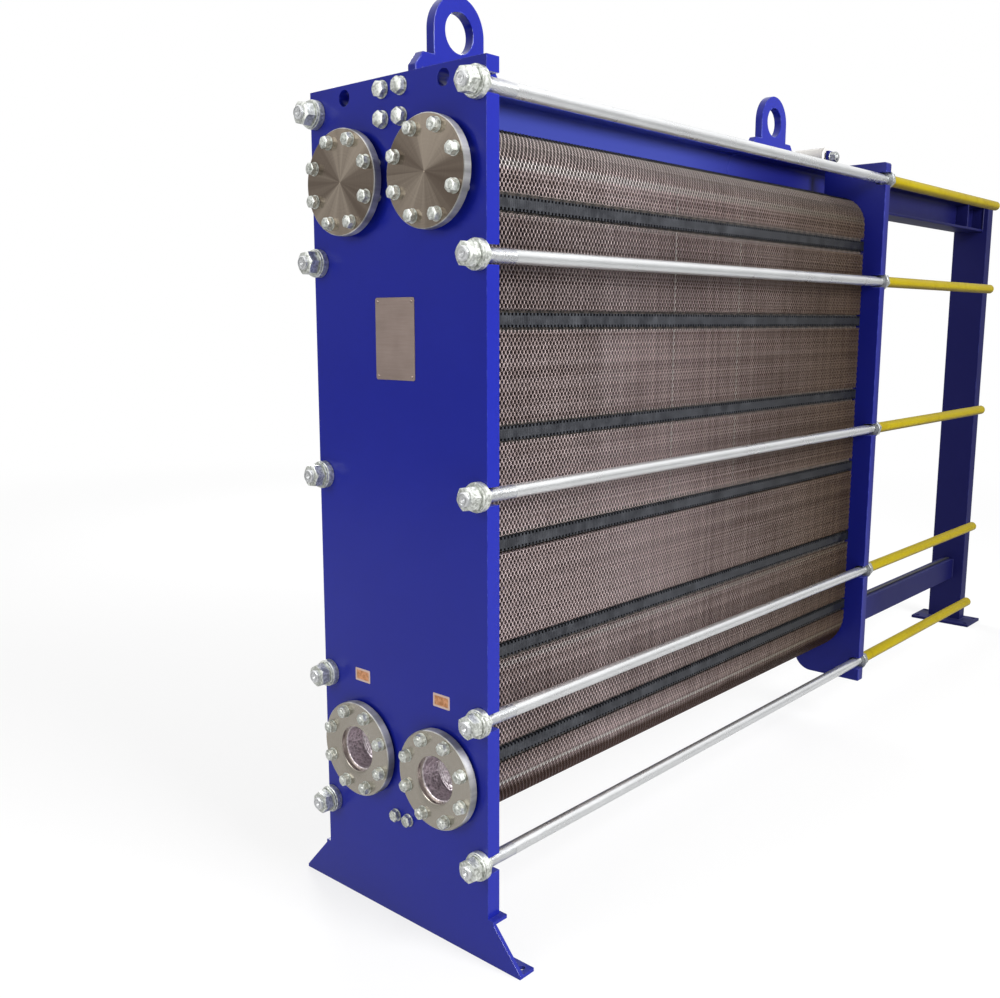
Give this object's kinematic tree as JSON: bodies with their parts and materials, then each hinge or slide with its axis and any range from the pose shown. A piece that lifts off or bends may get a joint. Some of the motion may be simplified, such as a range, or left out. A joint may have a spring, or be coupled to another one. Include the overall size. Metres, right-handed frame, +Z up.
{
  "type": "plate heat exchanger",
  "caption": "Wide gap plate heat exchanger: a pack of corrugated plates clamped between two steel end plates by tie bolts, hung from an upper beam that runs to a rear column.",
  "frame": {"origin": "on the floor, midway between the two anchor holes of the front foot", "axes": "+Z is up, +Y runs from the fixed plate to the column, +X is to the right seen from the flanges' side"},
  "size_m": [0.708, 3.522, 2.036],
  "materials": {
    "blue_paint": "gloss enamel",
    "bright_steel": "bright drawn",
    "roller_nylon": "turned",
    "plate_steel": "pressed sheet edges",
    "gasket_rubber": "matt",
    "flange_steel": "turned",
    "liner_steel": "rolled",
    "zinc_steel": "zinc plated",
    "yellow_plastic": "satin",
    "name_plate_steel": "satin",
    "sticker_film": "printed film"
  },
  "bodies": {
    "root": {"fixed_plate": "blue_paint", "foot_cap": "blue_paint", "foot_web": "blue_paint", "foot_sole": "blue_paint", "carrying_beam": "blue_paint", "beam_end_pads": "blue_paint", "beam_stiffeners": "blue_paint", "guide_bar": "blue_paint", "guide_rail": "bright_steel", "support_column": "blue_paint", "column_base": "blue_paint", "pressure_plate": "blue_paint", "roller": "roller_nylon", "roller_axle": "bright_steel", "roller_brackets": "blue_paint", "lifting_lug_front": "blue_paint", "lifting_lug_rear": "blue_paint", "plate_pack": "plate_steel", "gasket_bands": "gasket_rubber", "port_rings": "flange_steel", "port_liners": "liner_steel", "blind_flange_left": "flange_steel", "blind_flange_right": "flange_steel", "open_flange_left": "flange_steel", "open_flange_right": "flange_steel", "tie_rod_left_1": "bright_steel", "tie_rod_left_2": "bright_steel", "tie_rod_left_3": "bright_steel", "tie_rod_left_4": "bright_steel", "tie_rod_left_5": "bright_steel", "tie_rod_right_1": "bright_steel", "tie_rod_right_2": "bright_steel", "tie_rod_right_3": "bright_steel", "tie_rod_right_4": "bright_steel", "tie_rod_right_5": "bright_steel", "front_bushings": "zinc_steel", "front_washers": "zinc_steel", "front_nuts": "zinc_steel", "rear_washers": "zinc_steel", "rear_nuts": "zinc_steel", "thread_covers": "yellow_plastic", "name_plate": "name_plate_steel", "stickers": "sticker_film"}
  },
  "joints": []
}
